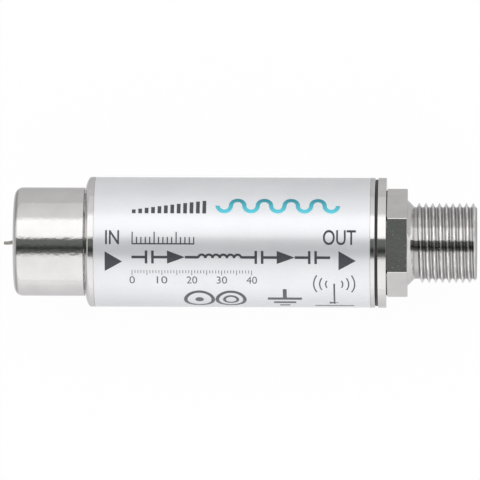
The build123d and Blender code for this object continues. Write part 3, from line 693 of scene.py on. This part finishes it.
TAIL_END_X = 12.47
STOP_X = 16.51
STOP_RADIUS = 1.5
STEM_RADIUS = 0.8
JAW_X = 22.27
JAW_RADIUS = 1.0
JAW_SLOT_X = JAW_END_X - 3.3
contact = turn("socket_jaws", [
    (TAIL_X, 0), (TAIL_X, CONTACT_RADIUS), (TAIL_END_X, CONTACT_RADIUS), (TAIL_END_X, STEM_RADIUS),
    (STOP_X, STEM_RADIUS), (STOP_X, STOP_RADIUS), (STOP_X + 0.8, STOP_RADIUS),
    (STOP_X + 0.8, STEM_RADIUS), (JAW_X, STEM_RADIUS), (JAW_X, JAW_RADIUS),
    (JAW_END_X - 0.07, JAW_RADIUS), (JAW_END_X, JAW_RADIUS - 0.07),
    (JAW_END_X, CONTACT_RADIUS + 0.1), (JAW_END_X - 0.1, CONTACT_RADIUS),
    (JAW_X + 0.5, CONTACT_RADIUS), (JAW_X + 0.5, 0),
], steps=64, closed=False)
for turned_by in (0, pi / 2):
    cut(contact, slot_cutter(JAW_SLOT_X, JAW_END_X + 0.5, 3.0, 0.2, turned_by), "DIFFERENCE")
smooth(contact)
fit_out(contact, CASE, "contact_bronze", finishes["gold_flashed_bronze"], "socket_contact")


# The push-on plug: a post in the housing, a sleeve and a sprung collet that turn on it, and the pin

SWAGED_RADIUS = 3.95
FLANGE_THICKNESS = 0.7
post = turn("plug_post_tube", [
    (POST_X, POST_BORE), (POST_END_X, POST_BORE), (POST_END_X, SWAGED_RADIUS - 0.1),
    (POST_END_X - 0.1, SWAGED_RADIUS), (POST_END_X - 0.4, SWAGED_RADIUS),
    (POST_END_X - 0.4, POST_RADIUS), (POST_X + FLANGE_THICKNESS, POST_RADIUS),
    (POST_X + FLANGE_THICKNESS, POST_FLANGE_RADIUS), (POST_X + 0.08, POST_FLANGE_RADIUS),
    (POST_X, POST_FLANGE_RADIUS - 0.08),
], steps=96)
round_edges(post, 0.04)
smooth(post)
fit_out(post, CASE, "housing_nickel", housing_nickel, "plug_post")

NOSE_RADIUS = 1.0
MOUTH_RADIUS = 4.95
SLEEVE_BORE = 5.73
nose_foot = SLEEVE_RADIUS - NOSE_RADIUS
sleeve = turn("plug_sleeve", [
    (RIM_X, MOUTH_RADIUS),
    *rounding(RIM_X + NOSE_RADIUS, nose_foot, NOSE_RADIUS),
    (SLEEVE_REAR_X, SLEEVE_RADIUS), (SLEEVE_REAR_X, SLEEVE_BORE),
    (RIM_X + 0.6, SLEEVE_BORE), (RIM_X + 0.6, MOUTH_RADIUS),
], steps=192)
round_edges(sleeve, 0.09)
smooth(sleeve)
fit_out(sleeve, COUPLING, "coupling_nickel", coupling_nickel, "coupling_sleeve")

RING_BORE = 3.558
RING_RADIUS = 5.71
GRIP_RADIUS = 4.62
FINGER_BORE = 4.75
collet = turn("plug_collet", [
    (RING_REAR_X, RING_BORE), (RING_REAR_X, RING_RADIUS), (RING_X, RING_RADIUS),
    (RING_X - 0.5, COLLET_RADIUS), (COLLET_X + 0.05, COLLET_RADIUS),
    (COLLET_X, COLLET_RADIUS - 0.05), (COLLET_X, GRIP_RADIUS + 0.2),
    (COLLET_X + 0.35, GRIP_RADIUS), (COLLET_X + 1.05, GRIP_RADIUS),
    (COLLET_X + 1.45, FINGER_BORE), (RING_X, FINGER_BORE), (RING_X, RING_BORE),
], steps=144)
for finger_slot in range(3):
    slot = slot_cutter(RING_X - 7.3, RING_X - 0.5, 12.8, 0.6, finger_slot * pi / 3)
    cut(collet, slot, "DIFFERENCE")
smooth(collet)
fit_out(collet, COUPLING, "coupling_nickel", coupling_nickel, "coupling_collet")

BUSH_HEAD_X = POST_END_X + 0.02
BUSH_HEAD_END_X = POST_END_X + 0.82
BUSH_HEAD_RADIUS = 3.198
BUSH_STEM_RADIUS = POST_BORE - 0.02
PIN_HOLE_RADIUS = CONTACT_RADIUS + 0.02
plug_bush = turn("plug_bush", [
    (POST_X, PIN_HOLE_RADIUS), (BUSH_HEAD_END_X, PIN_HOLE_RADIUS),
    (BUSH_HEAD_END_X, BUSH_HEAD_RADIUS), (BUSH_HEAD_X, BUSH_HEAD_RADIUS),
    (BUSH_HEAD_X, BUSH_STEM_RADIUS), (POST_X + 0.07, BUSH_STEM_RADIUS), (POST_X, 2.2),
], steps=96)
round_edges(plug_bush, 0.05)
smooth(plug_bush)
fit_out(plug_bush, CASE, "insulator_white", finishes["white_insulator_plastic"], "plug_insulator")

TIP_RADIUS = 0.205
pin = turn("plug_pin", [
    (TIP_X, 0), (TIP_X, 0.12), (TIP_X + 0.05, 0.18), (TIP_X + 0.14, TIP_RADIUS),
    (TIP_X + 0.5, TIP_RADIUS), (RIM_X - 0.2, 0.25), (RIM_X + 0.4, PIN_RADIUS),
    (POST_X, PIN_RADIUS), (POST_X, CONTACT_RADIUS), (PIN_END_X, CONTACT_RADIUS), (PIN_END_X, 0),
], steps=48, closed=False)
# the pin's tip is bent a little to one side, at two places
for bent_from, aside in ((RIM_X + 0.6, -0.09), (TIP_X + 0.6, -0.10)):
    edit(pin)
    bpy.ops.mesh.select_all(action="DESELECT")
    bpy.ops.object.mode_set(mode="OBJECT")
    for vertex in pin.data.vertices:
        vertex.select = vertex.co.x < bent_from * MM
    bpy.ops.object.mode_set(mode="EDIT")
    bpy.ops.transform.translate(value=(0, aside * MM, 0))
    bpy.ops.object.mode_set(mode="OBJECT")
smooth(pin, 24)
fit_out(pin, CASE, "pin_copper", finishes["tinned_copper_pin"], "centre_pin")


# The board and what it carries keep their own solids

INNER_FINISHES = {
    "socket_rear_insulator": "white_insulator_plastic",
    "socket_tooth_washer": "zinc_plated_steel",
    "socket_lock_nut": "zinc_plated_steel",
    "circuit_board": "board_laminate",
    "ground_plane": "tinned_copper_foil",
    "copper_tracks": "tinned_copper_foil",
    "solder_joints": "bright_solder",
    "earth_springs": "phosphor_bronze",
    "coupling_capacitors": "fired_ceramic",
    "bias_resistors": "glazed_film",
    "smoothing_capacitor": "yellow_epoxy",
    "surge_diode": "black_epoxy",
    "chip_terminals": "tin_plate",
    "amplifier_chip": "black_epoxy",
    "amplifier_leads": "tin_plate",
    "choke_cores": "sintered_ferrite",
    "choke_windings": "enamelled_wire",
}
for node, finish in INNER_FINISHES.items():
    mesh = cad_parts[node].data
    mesh.materials.clear()
    mesh.materials.append(finishes[finish])


# The print on the label. It is drawn flat, with x along the axis and y round the label from its
# top line, then bent to the label.


def fit_to(piece, x0, x1, y0, y1):
    """Brings a flat shape to a place and size on the label."""
    settle(piece)
    bpy.ops.object.origin_set(type="ORIGIN_GEOMETRY", center="BOUNDS")
    piece.scale = ((x1 - x0) * MM / piece.dimensions.x, (y1 - y0) * MM / piece.dimensions.y, 1)
    piece.location = ((x0 + x1) / 2 * MM, (y0 + y1) / 2 * MM, 0)
    settle(piece)
    return piece


def strip(x0, x1, y0, y1):
    """A filled bar."""
    bpy.ops.object.select_all(action="DESELECT")
    bpy.ops.mesh.primitive_plane_add(size=MM)
    return fit_to(bpy.context.object, x0, x1, y0, y1)


def triangle(x0, x1, y0, y1):
    """A filled triangle that points to the socket."""
    bpy.ops.object.select_all(action="DESELECT")
    bpy.ops.mesh.primitive_circle_add(
        vertices=3, radius=MM, fill_type="NGON", rotation=(0, 0, -pi / 2))
    return fit_to(bpy.context.object, x0, x1, y0, y1)


def disc(x, y, radius):
    """A filled round."""
    bpy.ops.object.select_all(action="DESELECT")
    bpy.ops.mesh.primitive_circle_add(
        vertices=40, radius=radius * MM, fill_type="NGON", location=(x * MM, y * MM, 0))
    return bpy.context.object


def arc(x, y, radius, stroke, start, sweep):
    """A stroke along part of a circle, by degrees from the +x direction."""
    bpy.ops.object.select_all(action="DESELECT")
    bpy.ops.mesh.primitive_plane_add(size=MM, location=((radius - stroke / 2) * MM, 0, 0))
    piece = open_piece("stroke")
    bpy.ops.mesh.merge(type="CENTER")
    bpy.ops.mesh.extrude_region_move(TRANSFORM_OT_translate={"value": (stroke * MM, 0, 0)})
    bpy.ops.mesh.select_all(action="SELECT")
    bpy.ops.mesh.spin(
        steps=max(6, ceil(sweep / 9)), angle=-radians(sweep), center=(0, 0, 0), axis=(0, 0, 1))
    close_piece(piece)
    piece.rotation_euler.z = radians(start)
    piece.location = (x * MM, y * MM, 0)
    settle(piece)
    return piece


def words(text, x0, x1, y0, y1, heavier=0.0):
    """Letters or a number. Heavier is what their strokes gain at each side."""
    bpy.ops.object.select_all(action="DESELECT")
    bpy.ops.object.text_add()
    letters = bpy.context.object.data
    letters.body = text
    letters.size = 2 * MM
    letters.resolution_u = 6
    letters.offset = heavier * MM
    bpy.ops.object.convert(target="MESH")
    return fit_to(bpy.context.object, x0, x1, y0, y1)


PRINT_RADIUS = LABEL_RADIUS + 0.003
INK_THICKNESS = 0.006
BEND_STEP = 0.3


def lay_print(name, shapes, ink_finish):
    """Joins flat shapes, bends them round the label in fine steps and gives them their thickness."""
    piece = join(name, shapes)
    settle(piece)
    low = min(corner[1] for corner in piece.bound_box)
    high = max(corner[1] for corner in piece.bound_box)
    bpy.ops.object.mode_set(mode="EDIT")
    steps = ceil((high - low) / (BEND_STEP * MM))
    for step in range(1, steps):
        level = low + (high - low) * step / steps
        bpy.ops.mesh.select_all(action="SELECT")
        bpy.ops.mesh.bisect(plane_co=(0, level, 0), plane_no=(0, 1, 0), threshold=1e-7)
    bpy.ops.object.mode_set(mode="OBJECT")
    # a bend about X takes the piece's height, so the flat shapes stand up for it
    piece.rotation_euler.x = pi / 2
    settle(piece)
    apply_modifier(
        piece, "SIMPLE_DEFORM", deform_method="BEND", deform_axis="X",
        angle=(high - low) / (PRINT_RADIUS * MM))
    piece.rotation_euler.x = -pi / 2
    piece.location.z = PRINT_RADIUS * MM
    settle(piece)
    apply_modifier(piece, "SOLIDIFY", thickness=INK_THICKNESS * MM, offset=0.0)
    return fit_out(piece, CASE, "label_foil", ink_finish)


MARKS_X = -12.51


def level_bars():
    """Twelve bars, each a little taller than the one before it."""
    foot, shortest, growth = 3.48, 0.5, 0.115
    starts = [MARKS_X + bar * 0.75 for bar in range(12)]
    return [
        strip(x, x + 0.44, foot, foot + shortest + growth * bar) for bar, x in enumerate(starts)]


def short_rule():
    """Fifteen ticks on a line, every fifth of them longer."""
    starts = [MARKS_X + tick * 0.515 for tick in range(15)]
    ticks = [
        strip(x, x + 0.14, -0.16, 0.6 if tick % 5 else 1.2) for tick, x in enumerate(starts)]
    return [*ticks, strip(MARKS_X, -5.16, -0.28, -0.12)]


def signal_line(x, y):
    """The signal's way: lines, capacitors with their two plates, amplifier arrows and a coil."""
    shapes = []
    half_line, half_plate, half_arrow, bow_radius = 0.16, 0.78, 0.79, 0.42
    for part in (
            "line", "capacitor", "line", "arrow", "line", "coil", "line", "capacitor", "line",
            "arrow", "line", "capacitor", "line"):
        if part == "line":
            length = 1.55
            shapes.append(strip(x, x + length, y - half_line, y + half_line))
        elif part == "capacitor":
            length = 1.05
            shapes.append(strip(x, x + 0.3, y - half_plate, y + half_plate))
            shapes.append(strip(x + 0.75, x + length, y - half_plate, y + half_plate))
        elif part == "arrow":
            length = 2.1
            shapes.append(triangle(x, x + length, y - half_arrow, y + half_arrow))
        else:
            length = 12 * bow_radius
            shapes += [
                arc(x + bow_radius * (2 * bow + 1), y - 0.1, bow_radius, 0.28, 0, 180)
                for bow in range(6)]
        x += length
    return shapes


def fine_scale():
    """Forty-one fine ticks with a number at every tenth."""
    starts = [MARKS_X + tick * 0.35 for tick in range(41)]
    shapes = [
        strip(x, x + 0.08, -3.8 if tick % 5 else -4.05, -3.40) for tick, x in enumerate(starts)]
    for place, number in enumerate(("0", "10", "20", "30", "40")):
        half = 0.31 * len(number)
        middle = MARKS_X + 0.04 + place * 3.5
        shapes.append(words(number, middle - half, middle + half, -5.25, -4.22))
    return shapes


def cable_core(y):
    """A cable's two ends: a core in its screen, and the ring that takes it."""
    core_x, ring_x = -4.65, -0.95
    return [
        *[arc(x, y, 1.62, 0.42, 0, 360) for x in (core_x, ring_x)],
        disc(core_x, y, 0.5), arc(ring_x, y, 0.78, 0.34, 0, 360)]


def earth_sign(x, y):
    """A stem and three bars, each shorter than the one above it."""
    stem = strip(x - 0.225, x + 0.225, y - 0.1, y + 1.6)
    bars = [
        strip(x - half, x + half, y - 0.5 - row * 0.95, y - row * 0.95)
        for row, half in enumerate((2.0, 1.3, 0.6))]
    return [stem, *bars]


def aerial_sign(x, y):
    """A mast on a foot, with waves going out to both sides of its top."""
    shapes = [strip(x - 0.1, x + 0.1, y - 4.0, y + 0.1), triangle(x - 0.58, x + 0.58, y - 4.0, y - 3.4)]
    for side in (0, 180):
        for radius in (1.0, 1.7, 2.4):
            shapes.append(arc(x, y, radius, 0.16, side - 32, 64))
    shapes.append(strip(x - 2.28, x + 2.28, y - 4.95, y - 4.55))
    return shapes


def wave(x, y, radius, bows):
    """Half circles, one under the line and the next over it."""
    return [
        arc(x + radius * (2 * bow + 1), y, radius, 0.5, 0 if bow % 2 else 180, 180)
        for bow in range(bows)]


lay_print("label_print_dark", [
    words("IN", -15.60, -13.97, -0.28, 1.37, 0.02), words("OUT", 9.88, 13.73, -0.28, 1.49, 0.02),
    triangle(-15.66, -13.61, -3.53, -1.11), triangle(11.70, 13.73, -3.33, -0.99),
    *level_bars(), *short_rule(), *signal_line(MARKS_X, -1.78),
], dark_ink)
lay_print(
    "label_print_grey",
    [*fine_scale(), *cable_core(-8.2), *earth_sign(5.375, -7.7), *aerial_sign(11.18, -5.3)], grey_ink)
lay_print("label_print_wave", wave(-2.49, 4.55, 0.783, 9), blue_green_ink)


# Camera, floor and light

CAMERA_DISTANCE = 1200.0
CAMERA_TILT = radians(1.7)
CAMERA_ROLL = radians(0.21)
AIM_X = -0.041
AIM_Y = 0.271

scene = bpy.context.scene
scene.view_settings.view_transform = "Standard"

camera_data = bpy.data.cameras.new("camera")
camera_data.sensor_width = 36
camera_data.lens = 765
camera_data.clip_end = 10
camera = bpy.data.objects.new("camera", camera_data)
aside = CAMERA_DISTANCE * sin(CAMERA_TILT)
camera.location = (
    (AIM_X + aside) * MM, (AIM_Y + aside * sin(CAMERA_ROLL)) * MM,
    CAMERA_DISTANCE * cos(CAMERA_TILT) * MM)
camera.rotation_euler = (0, CAMERA_TILT, CAMERA_ROLL)
scene.collection.objects.link(camera)
scene.camera = camera


def white_floor():
    """A pale floor that keeps the shadow. To the camera it is white; in the plating its glow is painted
    uneven, a painted reflection.
    """
    material, make = new_material("white_floor")
    camera_ray = make.add("LightPath")
    glossy_ray = camera_ray.other("Is Glossy Ray")
    clear_ray = camera_ray.other("Is Transmission Ray")
    seen = make.largest(make.largest(camera_ray, glossy_ray), clear_ray)
    lit = make.add("BsdfDiffuse", sockets={"Color": rgb(0.95, 0.95, 0.95)})
    # painted reflection: in the plating the floor glows brighter to the south and dimmer to the north
    north = make.parts(make.place())[1]
    reflected_glow_under_tube = make.between(north, -12.0, 12.0, 1.05, 0.78)
    reflected_glow_south = make.between(north, -60.0, -20.0, 0.20, 0.0)
    strength = camera_ray + (1 - camera_ray) * (reflected_glow_under_tube + reflected_glow_south)
    glow = make.add("Emission", sockets={"Color": rgb(1, 1, 1), "Strength": strength})
    surface = make.add("MixShader", sockets={0: 0.96 * seen, 1: lit, 2: glow})
    make.add("OutputMaterial", sockets={"Surface": surface})
    return material


bpy.ops.object.select_all(action="DESELECT")
bpy.ops.mesh.primitive_plane_add(size=3, location=(0, 0, -HOUSING_RADIUS * MM))
floor = bpy.context.object
floor.name = "floor"
settle(floor)
floor.data.materials.append(white_floor())

# How light the studio is in what a tube shows, by degrees up from the tube's middle line
STUDIO_BANDS = (
    (-90, 0.48),
    (-66, 0.555),
    (-57, 0.62),
    (-50, 0.76),
    (-46, 0.815),
    (-39, 0.82),
    (-28, 0.792),
    (-18.5, 0.758),
    (-16.2, 0.74),
    (-14.3, 0.60),
    (-12.8, 0.26),
    (-11.7, 0.125),
    (-9.8, (0.100, 0.104, 0.101)),
    (-8.4, (0.040, 0.044, 0.041)),
    (-6.8, (0.027, 0.030, 0.028)),
    (-5.6, (0.048, 0.051, 0.049)),
    (-4.4, (0.076, 0.081, 0.077)),
    (-2.5, (0.113, 0.120, 0.114)),
    (1.2, (0.118, 0.125, 0.119)),
    (2.8, 0.14),
    (4.5, 0.90),
    (5.8, 0.95),
    (14, 1.0),
    (22.8, 1.0),
    (26.2, 0.67),
    (27.8, 0.612),
    (47.5, 0.54),
    (51.5, 0.445),
    (53.5, 0.43),
    (57, 0.455),
    (72, 0.465),
    (90, 0.46),
)
LIGHT = 1.7
END_LIGHT = 1.1

world = bpy.data.worlds.new("studio")
scene.world = world
make = Maker(world)
east, north, up = make.parts(make.add("TexCoord", output="Generated"))
angle = make.add("Math", {"operation": "ARCTAN2"}, {0: north, 1: up + 1})
stops = [(degrees / 180 + 0.5, level) for degrees, level in STUDIO_BANDS]
bands = make.add("ValToRGB", {"stops": stops}, {"Fac": angle / pi + 0.5})
sides = make.add("VectorMath", {"operation": "SCALE"}, {0: bands, "Scale": LIGHT})
toward_end = make.between(east * east, 0.82, 0.96)
level = make.add("Mix", {"data_type": "RGBA", "blend_type": "LIGHTEN"}, {
    0: toward_end, 6: sides, 7: rgb(END_LIGHT, END_LIGHT, END_LIGHT)}, output=2)
backdrop = make.add("Background", sockets={"Color": level, "Strength": 1.0})
make.add("OutputWorld", sockets={"Surface": backdrop})
